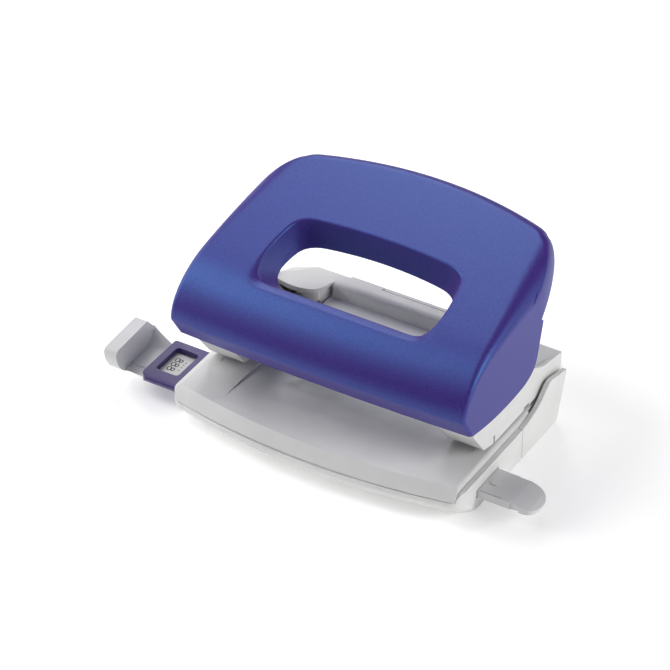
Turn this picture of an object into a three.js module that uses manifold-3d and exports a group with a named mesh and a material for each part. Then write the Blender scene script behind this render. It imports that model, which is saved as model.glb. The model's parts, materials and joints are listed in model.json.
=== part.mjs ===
// Two-hole desk punch: sheet-metal press handle on a long rear axle, two sprung punch pins,
// a steel base plate on a moulded housing, a swing-down chip tray and a sliding paper guide.
// Millimetres. X runs along the row of holes, Y from front to back, Z up.

import * as THREE from 'three';
import { mergeVertices } from 'three/addons/utils/BufferGeometryUtils.js';
import Module from 'manifold-3d';

const wasm = await Module();
wasm.setup();

// ---------------------------------------------------------------- driving dimensions

const gap = 0.3;                  // air between touching pieces
const runningFit = 0.08;          // radial clearance of a shaft in its hole
const holeX = 40;                 // half of the 80 mm pitch of the two holes
const punchRadius = 2.75;
const punchStroke = 6;

const plateTop = 12.8;
const plateThickness = 2.8;
const plateHalfWidth = 46;
const plateRear = 28.9;
const skirtBottom = 8.7;
const plateFront = -32;           // crease between the flat top and the front bevel
const bevelFront = -34.6;
const frontBow = 5;               // how far the middle of the front stands ahead of its ends

const baseHalfWidth = 48.5;
const baseWall = 2.1;
const baseBottom = 0.4;
const floorTop = 1.8;
const wallTop = 11;
const trayFront = -35.2;
const seamY = 7.35;               // split between the chip tray and the rear housing

const stopY = 12;                 // paper stop, 12 mm behind the hole centres
const throatRoof = 14.9;
const coverInner = 33.9;
const coverOuter = 46.1;
const coverWall = 1.2;
const coverFront = -11.5;          // lower front edge; the face leans forward going up
const coverNose = -17.6;
const coverRear = 35.5;
const rearWall = 0.9;
const roofRear = 20.7;
const roofThickness = 1.8;

const axleY = 32;
const axleZ = 16.4;
const axleRadius = 1.5;
const bridgeHalfWidth = 29.2;
const bridgeFront = 29;

const handleHalfWidth = 48.4;
const sheet = 1.2;
const shoulderRadius = 4.2;
const rearFillet = 6;
const noseY = -28;
const lipTopZ = 36.1;
const lipBottom = { y: -23.6, z: 28.9 };
const pressEdge = 38.9;           // lower edge of the lever over the pin

const hingeY = 6.2;               // line on which the chip tray swings down
const hingeZ = 1.9;
const hingeRadius = 0.75;

const guideTop = 7;
const guideBottom = 4.6;
const guideFront = -23.2;
const guideRear = -6.4;
const tabFront = -19.3;
const tabRear = -7.1;
const tabTip = 66.8;
const tabStart = 36;
const stopInner = -68.5;
const stopOuter = -72.8;
const sleeveOuter = -62;
const sleeveTop = 9;

// ---------------------------------------------------------------- materials

const finish = (color, roughness, metalness) =>
  new THREE.MeshStandardMaterial({ color, roughness, metalness });

const bluePaint = finish(0x4a52a0, 0.45, 0.5);
const indigoPlastic = finish(0x3a2c7a, 0.45, 0);
const lightGrey = finish(0xd2d2d0, 0.5, 0);
const guideGrey = finish(0xa2a2a8, 0.45, 0);
const greyPaint = finish(0xbcbcbc, 0.4, 0.3);
const steel = finish(0x9a9ca0, 0.3, 0.9);
const rubber = finish(0x2a2a2c, 0.9, 0);
const paperWhite = finish(0xe4e4e0, 0.7, 0);

// ---------------------------------------------------------------- solids

function toSolid(geometry) {
  const bare = geometry.clone();
  bare.deleteAttribute('normal');
  bare.deleteAttribute('uv');
  const merged = mergeVertices(bare, 1e-4);
  return new wasm.Manifold(new wasm.Mesh({
    numProp: 3,
    vertProperties: Float32Array.from(merged.attributes.position.array),
    triVerts: Uint32Array.from(merged.index.array),
  }));
}

function toGeometry(solid) {
  const mesh = solid.getMesh();
  const geometry = new THREE.BufferGeometry();
  geometry.setAttribute('position', new THREE.BufferAttribute(mesh.vertProperties, 3));
  geometry.setIndex(new THREE.BufferAttribute(mesh.triVerts, 1));
  geometry.computeVertexNormals();
  return geometry;
}

const join = (...pieces) => toGeometry(pieces.map(toSolid).reduce((a, b) => a.add(b)));
const cut = (piece, ...tools) => toGeometry(tools.map(toSolid).reduce((a, b) => a.subtract(b), toSolid(piece)));
const common = (a, b) => toGeometry(toSolid(a).intersect(toSolid(b)));

function block(x0, x1, y0, y1, z0, z1) {
  const geometry = new THREE.BoxGeometry(x1 - x0, y1 - y0, z1 - z0);
  return geometry.translate((x0 + x1) / 2, (y0 + y1) / 2, (z0 + z1) / 2);
}

function post(x, y, z0, z1, radius, sides = 24) {
  const geometry = new THREE.CylinderGeometry(radius, radius, z1 - z0, sides);
  return geometry.rotateX(Math.PI / 2).translate(x, y, (z0 + z1) / 2);
}

function rod(x0, x1, y, z, radius, sides = 24) {
  const geometry = new THREE.CylinderGeometry(radius, radius, x1 - x0, sides);
  return geometry.rotateZ(Math.PI / 2).translate((x0 + x1) / 2, y, z);
}

function polygon(points) {
  return new THREE.Shape(points.map(([u, v]) => new THREE.Vector2(u, v)));
}

// A plan outline drawn in (x, y), raised from z0 to z1.
function raise(shape, z0, z1, curveSegments = 8) {
  const geometry = new THREE.ExtrudeGeometry(shape, { depth: z1 - z0, bevelEnabled: false, curveSegments });
  return geometry.translate(0, 0, z0);
}

// A side profile drawn in (y, z), run along x from x0 to x1.
function runAlongX(shape, x0, x1, curveSegments = 8) {
  const geometry = new THREE.ExtrudeGeometry(shape, { depth: x1 - x0, bevelEnabled: false, curveSegments });
  const turn = new THREE.Matrix4().makeBasis(
    new THREE.Vector3(0, 1, 0), new THREE.Vector3(0, 0, 1), new THREE.Vector3(1, 0, 0));
  return geometry.applyMatrix4(turn).translate(x0, 0, 0);
}

// A closed skin over rings of equal length; flatten gives the 2-D points of an end ring.
function loft(sections, flatten) {
  const clockwise = THREE.ShapeUtils.area(sections[0].map(flatten)) < 0;
  const rings = clockwise ? sections.map((section) => [...section].reverse()) : sections;
  const count = rings[0].length;
  const index = [];
  for (let r = 0; r + 1 < rings.length; r += 1) {
    for (let i = 0; i < count; i += 1) {
      const j = (i + 1) % count;
      const [a, b, c, d] = [r * count + i, r * count + j, (r + 1) * count + j, (r + 1) * count + i];
      index.push(a, b, c, a, c, d);
    }
  }
  const last = (rings.length - 1) * count;
  const faces = (ring) => THREE.ShapeUtils.triangulateShape(ring.map(flatten), []);
  faces(rings[0]).forEach(([a, b, c]) => index.push(a, c, b));
  faces(rings[rings.length - 1]).forEach(([a, b, c]) => index.push(last + a, last + b, last + c));
  const geometry = new THREE.BufferGeometry();
  geometry.setAttribute('position', new THREE.Float32BufferAttribute(rings.flat(2), 3));
  geometry.setIndex(index);
  geometry.computeVertexNormals();
  return geometry;
}

const flattenToPlan = ([x, y]) => new THREE.Vector2(x, y);
const flattenToSide = ([, y, z]) => new THREE.Vector2(y, z);

const mirrorX = (geometry) => {
  const mirrored = geometry.clone().applyMatrix4(new THREE.Matrix4().makeScale(-1, 1, 1));
  const flat = mirrored.index ? mirrored.toNonIndexed() : mirrored;
  const position = flat.attributes.position;
  for (let i = 0; i < position.count; i += 3) {
    const held = new THREE.Vector3().fromBufferAttribute(position, i + 1);
    const other = new THREE.Vector3().fromBufferAttribute(position, i + 2);
    position.setXYZ(i + 1, other.x, other.y, other.z);
    position.setXYZ(i + 2, held.x, held.y, held.z);
  }
  flat.computeVertexNormals();
  return flat;
};

const punch = new THREE.Group();

function add(name, geometry, material) {
  const mesh = new THREE.Mesh(geometry, material);
  mesh.name = name;
  punch.add(mesh);
}

// The same piece on both sides of the punch, drawn on the right.
function addPair(name, geometry, material) {
  add(`${name}_right`, geometry, material);
  add(`${name}_left`, mirrorX(geometry), material);
}

// ---------------------------------------------------------------- press handle

// Height of the outside of the arched top panel.
const panelHeight = (y) => 55.1 + 0.235 * y - 0.0012 * y * y;

// Rear edge of the handle in plan: a shallow bow that rounds off into the side walls.
function handleRear(x) {
  const bow = 3.8 * (x / 33.5) ** 2;
  const corner = Math.max(0, (Math.abs(x) - 38.1) / 10.3);
  return 44.2 - bow - 11.3 * corner ** 4.4;
}

// Side profile of the filled handle at station x, moved inwards by inset.
function handleProfile(x, inset) {
  const rear = handleRear(x);
  const points = [[-20.6, 24], [lipBottom.y, lipBottom.z], [noseY, lipTopZ]];
  const nose = new THREE.CubicBezierCurve(
    new THREE.Vector2(noseY, lipTopZ), new THREE.Vector2(noseY, 42),
    new THREE.Vector2(-20, 49.9), new THREE.Vector2(-10, 52.6));
  nose.getPoints(7).slice(1).forEach((p) => points.push([p.x, p.y]));
  const filletStart = rear - rearFillet;
  for (let i = 1; i <= 4; i += 1) {
    const y = -10 + (filletStart + 10) * (i / 4);
    points.push([y, panelHeight(y)]);
  }
  for (let i = 1; i <= 5; i += 1) {
    const a = (Math.PI / 2) * (i / 5);
    const top = panelHeight(filletStart);
    points.push([filletStart + rearFillet * Math.sin(a), top - rearFillet * (1 - Math.cos(a))]);
  }
  points.push([rear, 24]);
  const bow = 1.8 * (1 - (x / handleHalfWidth) ** 2);
  return points.map(([y, z], i) => {
    const before = points[Math.max(0, i - 1)];
    const after = points[Math.min(points.length - 1, i + 1)];
    const along = new THREE.Vector2(after[0] - before[0], after[1] - before[1]).normalize();
    const reach = THREE.MathUtils.clamp((-10 - y) / 18, 0, 1);
    return [x, y - bow * reach + along.y * inset, z - along.x * inset];
  });
}

// The handle filled solid, inside a skin of the given thickness.
function handleBody(skin) {
  const half = handleHalfWidth - skin;
  const radius = shoulderRadius - skin;
  const stations = [];
  for (let i = 0; i <= 4; i += 1) {
    const a = (Math.PI / 2) * (1 - i / 4);
    stations.push({ x: half - radius + radius * Math.sin(a), inset: radius * (1 - Math.cos(a)) });
  }
  [38, 30, 20, 10].forEach((x) => stations.push({ x, inset: 0 }));
  const mirrored = stations.map(({ x, inset }) => ({ x: -x, inset }));
  const all = [...mirrored, { x: 0, inset: 0 }, ...stations.reverse()];
  return loft(all.map(({ x, inset }) => handleProfile(x, skin + inset)), flattenToSide);
}

// Finger opening in plan, grown outwards by grow.
function fingerOutline(grow) {
  const shape = new THREE.Shape();
  const [front, rear] = [-13.6 - grow, 10.4 + grow];
  shape.moveTo(-21, front);
  shape.lineTo(21, front);
  shape.bezierCurveTo(26.5 + grow, front, 28.3 + grow, -12, 28.3 + grow, -7);
  shape.lineTo(27.6 + grow, 4);
  shape.bezierCurveTo(27 + grow, 8, 25 + grow, rear - 0.4, 20, rear);
  shape.quadraticCurveTo(0, rear + 2, -20, rear);
  shape.bezierCurveTo(-25 - grow, rear - 0.4, -27 - grow, 8, -27.6 - grow, 4);
  shape.lineTo(-28.3 - grow, -7);
  shape.bezierCurveTo(-28.3 - grow, -12, -26.5 - grow, front, -21, front);
  return shape;
}

// Everything below the side walls' lower edge and behind their rear edge.
function handleUnderside() {
  const shape = new THREE.Shape();
  shape.moveTo(-60, 0);
  shape.lineTo(-60, lipBottom.z);
  shape.lineTo(lipBottom.y, lipBottom.z);
  shape.quadraticCurveTo(-8, 25.6, 6, 26.9);
  shape.quadraticCurveTo(13.4, 27.8, 14.6, 33.1);
  shape.lineTo(17.4, 43.6);
  shape.lineTo(20.8, 53);
  shape.quadraticCurveTo(22.2, 56.2, 25.5, 56.2);
  shape.lineTo(60, 56.2);
  shape.lineTo(60, 0);
  return runAlongX(shape, -60, 60, 5);
}

const handleSkin = handleBody(0);
const collar = common(raise(fingerOutline(sheet), 45.5, 70, 5), handleSkin);
add('press_handle',
  cut(join(cut(handleSkin, handleBody(sheet)), collar), raise(fingerOutline(0), 40, 75, 5), handleUnderside()),
  bluePaint);

// Lever plate under each end of the handle: it turns on the axle and presses the pin.
function leverProfile() {
  const eye = 2.3;
  const shape = new THREE.Shape();
  shape.moveTo(-5, pressEdge);
  shape.lineTo(6.5, pressEdge);
  shape.lineTo(9.5, 34);
  shape.lineTo(11, 27);
  shape.lineTo(16, 18.5);
  shape.lineTo(24, 15);
  shape.lineTo(axleY, axleZ - eye);
  shape.absarc(axleY, axleZ, eye, -Math.PI / 2, Math.PI / 2, false);
  shape.lineTo(20.6, 18.5);
  shape.lineTo(15, 25.6);
  shape.lineTo(13, 34);
  shape.lineTo(13, panelHeight(13) - sheet - 2 * gap);
  shape.lineTo(-5, panelHeight(-5) - sheet - 2 * gap);
  return shape;
}

const leverHalf = 1.6;
addPair('lever_plate',
  cut(runAlongX(leverProfile(), holeX - leverHalf, holeX + leverHalf, 12),
    rod(holeX - 5, holeX + 5, axleY, axleZ, axleRadius + runningFit)),
  steel);

// ---------------------------------------------------------------- punch mechanism

const bracketInner = coverInner + coverWall + gap;
const bracketOuter = coverOuter - coverWall - gap;
const guidePlate = { low: throatRoof + gap, thickness: 1.6 };
const upperPlate = { low: 29.9, high: 31.2 };
const pinTop = pressEdge - gap;
const pinTip = 15.6;

function punchBracket() {
  const seat = guidePlate.low + guidePlate.thickness;
  const ear = new THREE.Shape();
  ear.moveTo(12.4, plateTop + gap);
  ear.lineTo(28.4, plateTop + gap);
  ear.lineTo(axleY + 1.6, axleZ - 1.6);
  ear.absarc(axleY, axleZ, 2.2, -Math.PI / 4, Math.PI / 2, false);
  ear.lineTo(19, 18.6);
  ear.lineTo(12.4, seat);
  const slotInner = holeX - leverHalf - 0.5;
  const slotOuter = holeX + leverHalf + 0.5;
  const body = join(
    block(bracketInner, bracketOuter, -8, 14, guidePlate.low, seat),
    block(bracketInner, bracketOuter, -8, -6.8, guidePlate.low, upperPlate.high),
    block(bracketInner, bracketOuter, -8, 4.2, upperPlate.low, upperPlate.high),
    block(bracketInner, bracketOuter, 12.4, 14, plateTop + gap, seat),
    runAlongX(ear, bracketInner, slotInner, 10),
    runAlongX(ear, slotOuter, bracketOuter, 10),
    block(30.6, bracketInner + 0.5, 14.5, 28.4, plateTop + gap, 14.6));
  return cut(body,
    post(holeX, 0, 10, 35, punchRadius + runningFit),
    rod(30, 50, axleY, axleZ, axleRadius + runningFit),
    post(33, 17.5, 10, 20, 1.4),
    post(33, 24.5, 10, 20, 1.4));
}

addPair('punch_bracket', punchBracket(), steel);

function punchPin() {
  const groove = 0.35;
  const outline = [
    [0, pinTip + 0.5], [punchRadius - 0.05, pinTip], [punchRadius, pinTip + 0.1],
    [punchRadius, 28.2], [punchRadius - groove, 28.3], [punchRadius - groove, 29.1], [punchRadius, 29.2],
    [punchRadius, pinTop - 0.6], [punchRadius - 0.6, pinTop], [0, pinTop],
  ].map(([r, z]) => new THREE.Vector2(r, z));
  return new THREE.LatheGeometry(outline, 24).rotateX(Math.PI / 2).translate(holeX, 0, 0);
}

addPair('punch_pin', punchPin(), steel);

function ring(x, y, z0, z1, inner, outer) {
  return cut(post(x, y, z0, z1, outer), post(x, y, z0 - 1, z1 + 1, inner));
}

addPair('pin_clip', ring(holeX, 0, 28.2, 29.2, punchRadius + gap, 4.3), steel);

class Helix extends THREE.Curve {
  constructor(x, z0, z1, radius, turns) {
    super();
    Object.assign(this, { x, z0, z1, radius, turns });
  }

  getPoint(t) {
    const a = 2 * Math.PI * this.turns * t;
    return new THREE.Vector3(
      this.x + this.radius * Math.cos(a), this.radius * Math.sin(a), this.z0 + (this.z1 - this.z0) * t);
  }
}

function returnSpring() {
  const wire = new THREE.Shape().absarc(0, 0, 0.4, 0, 2 * Math.PI, false);
  const coil = new Helix(holeX, guidePlate.low + guidePlate.thickness + 0.7, 27.5, 3.6, 5);
  return new THREE.ExtrudeGeometry(wire, { steps: 60, curveSegments: 3, bevelEnabled: false, extrudePath: coil });
}

addPair('return_spring', returnSpring(), steel);
addPair('die_ring', ring(holeX, 0, 9.6, plateTop, punchRadius + 0.1, 4.6), steel);
add('pivot_axle', rod(-44.4, 44.4, axleY, axleZ, axleRadius), steel);

// ---------------------------------------------------------------- base plate

const bowed = (middle, x, half) => middle + frontBow * (x / half) ** 2;

// Plan outline with a bowed front and a straight rear edge, as a ring at height z.
function bowedRing(half, middle, rear, z, steps = 16) {
  const ringPoints = [];
  for (let i = 0; i <= steps; i += 1) {
    const x = -half + (2 * half * i) / steps;
    ringPoints.push([x, bowed(middle, x, half), z]);
  }
  ringPoints.push([half, rear, z], [-half, rear, z]);
  return ringPoints;
}

const plateSolid = (shrink, z0, z1) => loft([
  bowedRing(plateHalfWidth - shrink, bevelFront + shrink, plateRear - shrink, z0),
  bowedRing(plateHalfWidth - 0.5 - shrink, plateFront + shrink, plateRear - shrink, z1),
], flattenToPlan);

const trough = polygon([[-26, plateTop], [stopY, 11.4], [31, 11.4], [31, 14], [-26, 14]]);
const screwSpots = [[33, 17.5], [33, 24.5]];

add('base_plate',
  cut(plateSolid(0, skirtBottom, plateTop),
    plateSolid(1.5, skirtBottom - 1, plateTop - plateThickness),
    runAlongX(trough, -32, 32),
    post(holeX, 0, 0, 20, 4.6 + gap),
    post(-holeX, 0, 0, 20, 4.6 + gap),
    ...screwSpots.flatMap(([x, y]) => [post(x, y, 0, 20, 1.4, 16), post(-x, y, 0, 20, 1.4, 16)])),
  greyPaint);

screwSpots.forEach(([x, y], i) => {
  const shank = post(x, y, 9, 14.4, 1.05, 16);
  const head = post(x, y, 8.5, 9.7, 2.2, 16);
  addPair(`bracket_screw_${i + 1}`, join(shank, head), steel);
});

// ---------------------------------------------------------------- side covers and axle cover

// Side view of the cover: leaning front face, flat top and a roof that falls away to the rear.
function coverSide() {
  const shape = new THREE.Shape();
  shape.moveTo(coverFront, throatRoof);
  shape.lineTo(coverNose, 23.6);
  shape.quadraticCurveTo(coverNose - 1.2, 26.4, coverNose + 2, 26.4);
  shape.lineTo(13, 26.4);
  shape.quadraticCurveTo(16.4, 26.3, 18.6, 25);
  shape.quadraticCurveTo(22.5, 22.7, 27.4, 22.1);
  shape.lineTo(coverRear - 1, roofRear);
  shape.lineTo(coverRear, roofRear - 1);
  shape.lineTo(coverRear, throatRoof);
  shape.lineTo(30.6, throatRoof);
  shape.lineTo(30.6, plateTop + gap);
  shape.lineTo(stopY + 0.5, plateTop + gap);
  shape.lineTo(stopY - 1, throatRoof);
  return shape;
}

function sideCover() {
  const lobe = new THREE.Shape();
  lobe.moveTo(coverOuter - 0.5, coverRear + 1);
  lobe.lineTo(coverOuter - 0.5, 22.6);
  lobe.bezierCurveTo(41.2, 20.4, 34, 21.4, 31.2, 26.2);
  lobe.quadraticCurveTo(bridgeHalfWidth + gap, 29, bridgeHalfWidth + gap, 32);
  lobe.lineTo(bridgeHalfWidth + gap, coverRear + 1);
  const plan = join(
    block(coverInner, coverOuter, -20, stopY, 10, 30),
    block(coverOuter - coverWall, coverOuter, stopY - 1, coverRear + 1, 10, 30),
    raise(lobe, 10, 30, 6));
  const [low, high] = [coverInner + coverWall, coverOuter - coverWall];
  const footHollow = polygon([
    [-9.8, 12], [-9.8, throatRoof], [-15.9, 23.8], [-15.9, 30], [stopY + 0.5, 30], [stopY + 0.5, 12]]);
  const roofHollow = polygon([
    [stopY, 12], [stopY, 25.2], [13.5, 25.1], [18, 23.4], [22.4, 21.5], [27.4, 22.1 - roofThickness],
    [coverRear - rearWall, roofRear - roofThickness], [coverRear - rearWall, 12]]);
  return cut(common(runAlongX(coverSide(), bridgeHalfWidth, coverOuter, 5), plan),
    runAlongX(footHollow, low, high),
    runAlongX(roofHollow, bridgeHalfWidth + coverWall + gap, high),
    block(bridgeHalfWidth - 1, high, stopY + 0.2, coverRear - rearWall, 12, axleZ + axleRadius + gap));
}

addPair('side_cover', sideCover(), lightGrey);

function bridgeProfile() {
  const shape = new THREE.Shape();
  shape.moveTo(stopY, 11.7);
  shape.lineTo(stopY, 16);
  shape.lineTo(bridgeFront, 16);
  shape.lineTo(bridgeFront, 19);
  shape.quadraticCurveTo(bridgeFront + 0.2, 21, bridgeFront + 2.4, 21);
  shape.lineTo(coverRear - 1, 21);
  shape.quadraticCurveTo(coverRear, 21, coverRear, 20);
  shape.lineTo(coverRear, 14.9);
  shape.lineTo(coverRear - 1.1, 14.9);
  shape.lineTo(coverRear - 1.1, 19.9);
  shape.lineTo(bridgeFront + 1.1, 19.9);
  shape.lineTo(bridgeFront + 1.1, 14.8);
  shape.lineTo(stopY + 1.3, 14.8);
  shape.lineTo(stopY + 1.3, 11.7);
  return shape;
}

add('axle_cover', runAlongX(bridgeProfile(), -bridgeHalfWidth, bridgeHalfWidth, 5), lightGrey);

// ---------------------------------------------------------------- rear housing and chip tray

function rearHousing() {
  const inner = baseHalfWidth - baseWall;
  const outside = new THREE.Shape();
  const top = new THREE.Vector2(33.8, 15.9);
  outside.moveTo(seamY + 0.15, baseBottom);
  outside.lineTo(seamY + 0.15, wallTop);
  outside.quadraticCurveTo(14, 11.9, 17.5, 13.6);
  outside.quadraticCurveTo(21, 17.4, 23.8, 17.9);
  outside.lineTo(top.x, top.y);
  outside.lineTo(29.1, 1.3);
  outside.quadraticCurveTo(28.6, baseBottom, 27.4, baseBottom);
  const inside = polygon([[0, floorTop], [27.2, floorTop], [31.9, 17.5], [31.9, 40], [0, 40]]);
  return cut(runAlongX(outside, -baseHalfWidth, baseHalfWidth, 5),
    runAlongX(inside, -inner, inner),
    block(-inner, inner, 20, 50, 12.5, 40),
    footHole(36, 20), footHole(-36, 20));
}

// Knuckle beside the side wall that holds the chip tray's hinge pin.
function hingeKnuckle() {
  const shape = new THREE.Shape();
  shape.moveTo(9, 0.6);
  shape.lineTo(9, 3.2);
  shape.lineTo(hingeY, 3.2);
  shape.absarc(hingeY, hingeZ, 1.3, Math.PI / 2, 1.5 * Math.PI, false);
  return cut(runAlongX(shape, 44, baseHalfWidth - baseWall + 0.2, 8),
    block(baseHalfWidth - baseWall - gap, 50, 0, seamY + 0.2, 0, 5),
    rod(43, 50, hingeY, hingeZ, hingeRadius + runningFit));
}

// Screwed from below: bosses on the housing floor carry the base plate.
const bossSpot = { x: 22, y: 17 };
const housingBoss = (side) => cut(post(side * bossSpot.x, bossSpot.y, floorTop - 0.5, 9.7, 3, 20),
  post(side * bossSpot.x, bossSpot.y, 0, 12, 1.5, 16));
const screwSeat = (side) => join(post(side * bossSpot.x, bossSpot.y, 0, 12, 1.5, 16),
  post(side * bossSpot.x, bossSpot.y, 0, 1.6, 2.5, 16));
const housingScrew = join(post(bossSpot.x, bossSpot.y, 0.9, 9.8, 1.1, 16),
  post(bossSpot.x, bossSpot.y, 0.5, 1.3, 2.1, 16));

const footTop = 1.3;
const footRadius = 4.5;
const footHole = (x, y) => post(x, y, -1, footTop, footRadius + gap, 20);
const foot = (x, y) => post(x, y, 0, footTop - gap, footRadius, 20);

add('rear_housing',
  cut(join(cut(rearHousing(), block(-44, 44, 7, 8.2, 0, floorTop)),
    housingBoss(1), housingBoss(-1), hingeKnuckle(), mirrorX(hingeKnuckle())), screwSeat(1), screwSeat(-1)),
  lightGrey);
addPair('housing_screw', housingScrew, steel);
addPair('rear_foot', foot(36, 20), rubber);

// Plan outline of the tray with rounded front corners, as a ring at height z.
function trayRing(half, middle, rear, corner, z) {
  const ringPoints = [];
  const straight = half - corner;
  const cornerY = middle + frontBow;
  for (let i = 6; i >= 1; i -= 1) {
    const a = (Math.PI / 2) * (i / 6);
    ringPoints.push([-straight - corner * Math.sin(a), cornerY + corner * (1 - Math.cos(a)), z]);
  }
  for (let i = 0; i <= 12; i += 1) {
    const x = -straight + (2 * straight * i) / 12;
    ringPoints.push([x, middle + frontBow * (x / straight) ** 2, z]);
  }
  for (let i = 1; i <= 6; i += 1) {
    const a = (Math.PI / 2) * (i / 6);
    ringPoints.push([straight + corner * Math.sin(a), cornerY + corner * (1 - Math.cos(a)), z]);
  }
  ringPoints.push([half, rear, z], [-half, rear, z]);
  return ringPoints;
}

// The front wall tucks under as it goes down.
function trayBody(shrink) {
  const half = baseHalfWidth - shrink;
  const levels = shrink > 0 ? [floorTop, 3, 5.5, 7.4, 20] : [baseBottom, 2, 4.5, 7.4, wallTop];
  const rings = levels.map((z) => {
    const tuck = 7.6 * Math.max(0, 1 - z / 7.4) ** 1.6;
    return trayRing(half, trayFront + shrink + tuck, seamY - 0.15 - shrink, 5, z);
  });
  return loft(rings, flattenToPlan);
}

const slotLow = guideBottom - gap;
const slotHigh = guideTop + gap;

function chipTray() {
  const inner = baseHalfWidth - baseWall;
  const hollow = common(trayBody(1.8), block(-inner, inner, -50, seamY - 1.8, 0, 30));
  const shell = cut(trayBody(0), hollow,
    block(-inner, inner, 0, 20, 8.4, 20),
    loft([bowedRing(inner, bevelFront - gap, 20, 8.4), bowedRing(inner, bevelFront - gap, 20, 20)], flattenToPlan),
    runAlongX(polygon([[-40, 8.4], [-29.6, 8.4], [-27.2, wallTop + 0.1], [-27.2, 20], [-40, 20]]), -60, 60));
  const rib = block(-inner - 0.5, inner + 0.5, -5.6, -4.4, floorTop - 0.5, 8);
  const rests = [-30, 0, 30].map((x) => block(x - 0.7, x + 0.7, -24, -4.4, floorTop - 0.5, slotLow));
  return cut(join(shell, rib, ...rests),
    block(-60, -40, guideFront - gap, guideRear + gap, slotLow, slotHigh),
    block(40, 60, tabFront - gap, tabRear + gap, slotLow, slotHigh),
    runAlongX(polygon([[7.3, 1.3], [6, 0.4], [6, 0], [8, 0], [8, 1.3]]), -60, 60),
    block(43.6, inner, 4.5, 8, 0, 9),
    block(-inner, -43.6, 4.5, 8, 0, 9),
    rod(-47.7, 47.7, hingeY, hingeZ, hingeRadius + runningFit),
    footHole(34, -14), footHole(-34, -14));
}

add('chip_tray', chipTray(), lightGrey);
addPair('hinge_pin', rod(44.1, 47.6, hingeY, hingeZ, hingeRadius, 16), steel);
addPair('front_foot', foot(34, -14), rubber);

// ---------------------------------------------------------------- paper guide

const strip = { start: -61.7, front: -20, rear: -8.4 };

function paperGuide() {
  const tab = new THREE.Shape();
  const middle = (tabFront + tabRear) / 2;
  tab.moveTo(tabStart - 1, tabFront);
  tab.lineTo(60.5, tabFront);
  tab.bezierCurveTo(65, tabFront, tabTip, middle - 3, tabTip, middle);
  tab.bezierCurveTo(tabTip, middle + 3, 65, tabRear, 60.5, tabRear);
  tab.lineTo(tabStart - 1, tabRear);
  const slope = runAlongX(polygon([[-30, guideTop], [0, guideTop], [0, 12], [-30, 12]]), 0, 14)
    .rotateY(THREE.MathUtils.degToRad(7)).translate(58.6, 0, (1 - Math.cos(THREE.MathUtils.degToRad(7))) * guideTop);
  const paddle = new THREE.Shape();
  paddle.moveTo(-19.5, guideBottom);
  paddle.bezierCurveTo(-23.6, 5.6, -26.4, 9, -27.2, 13.4);
  paddle.quadraticCurveTo(-27.5, 15.6, -25.4, 15.8);
  paddle.lineTo(-11.4, 16.6);
  paddle.quadraticCurveTo(-10.2, 16.7, -9.6, 15.6);
  paddle.lineTo(guideRear, 12);
  paddle.lineTo(guideRear, guideBottom);
  const body = join(
    block(stopInner - 1, tabStart, guideFront, guideRear, guideBottom, guideTop),
    raise(tab, guideBottom, guideTop, 6),
    runAlongX(paddle, stopOuter, stopInner, 4));
  const recess = block(strip.start - gap, 34.6, strip.front - gap, strip.rear + gap, 6.3, 10);
  return cut(body, recess, slope);
}

add('paper_guide', paperGuide(), guideGrey);
add('format_strip', block(strip.start, 34.3, strip.front, strip.rear, 6.6, guideTop), paperWhite);

function windowSleeve() {
  const outside = new THREE.Shape();
  outside.moveTo(-25, 7.6);
  outside.quadraticCurveTo(-25, sleeveTop, -23.6, sleeveTop);
  outside.lineTo(-5.4, sleeveTop);
  outside.lineTo(-5.4, 3.6);
  outside.lineTo(-20.5, 3.6);
  outside.bezierCurveTo(-23.4, 3.8, -25, 5.4, -25, 7.6);
  return cut(runAlongX(outside, sleeveOuter, -baseHalfWidth - gap, 5),
    block(-70, -40, guideFront - gap, guideRear + gap, slotLow, slotHigh),
    block(-60, -51.6, -20.2, -8.3, 5, 12));
}

add('window_sleeve', windowSleeve(), indigoPlastic);

// Leaf spring that clicks into the guide's underside.
function detentSpring() {
  const leaf = polygon([
    [4, 2.1], [7, 2.1], [14, 3.5], [16, 3.9], [18, 3.5], [25, 2.1], [28, 2.1],
    [28, 2.5], [25, 2.5], [18, 3.9], [16, 4.3], [14, 3.9], [7, 2.5], [4, 2.5],
  ]);
  const geometry = new THREE.ExtrudeGeometry(leaf, { depth: 3, bevelEnabled: false });
  return geometry.rotateX(Math.PI / 2).translate(0, -13, 0);
}

add('detent_spring', detentSpring(), steel);

// The origin lies under the middle of the whole object, on the surface it stands on.
const extent = new THREE.Box3().setFromObject(punch);
punch.position.set(-(extent.min.x + extent.max.x) / 2, -(extent.min.y + extent.max.y) / 2, -extent.min.z);

export default punch;
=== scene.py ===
# Looks for the two-hole desk punch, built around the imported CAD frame.
# Shapes are drawn in millimetres, with the origin on the desk midway between the two holes,
# and dress() places them in the frame in metres.

import json
import math
import bmesh
import bpy
from mathutils import Matrix, Vector


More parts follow.
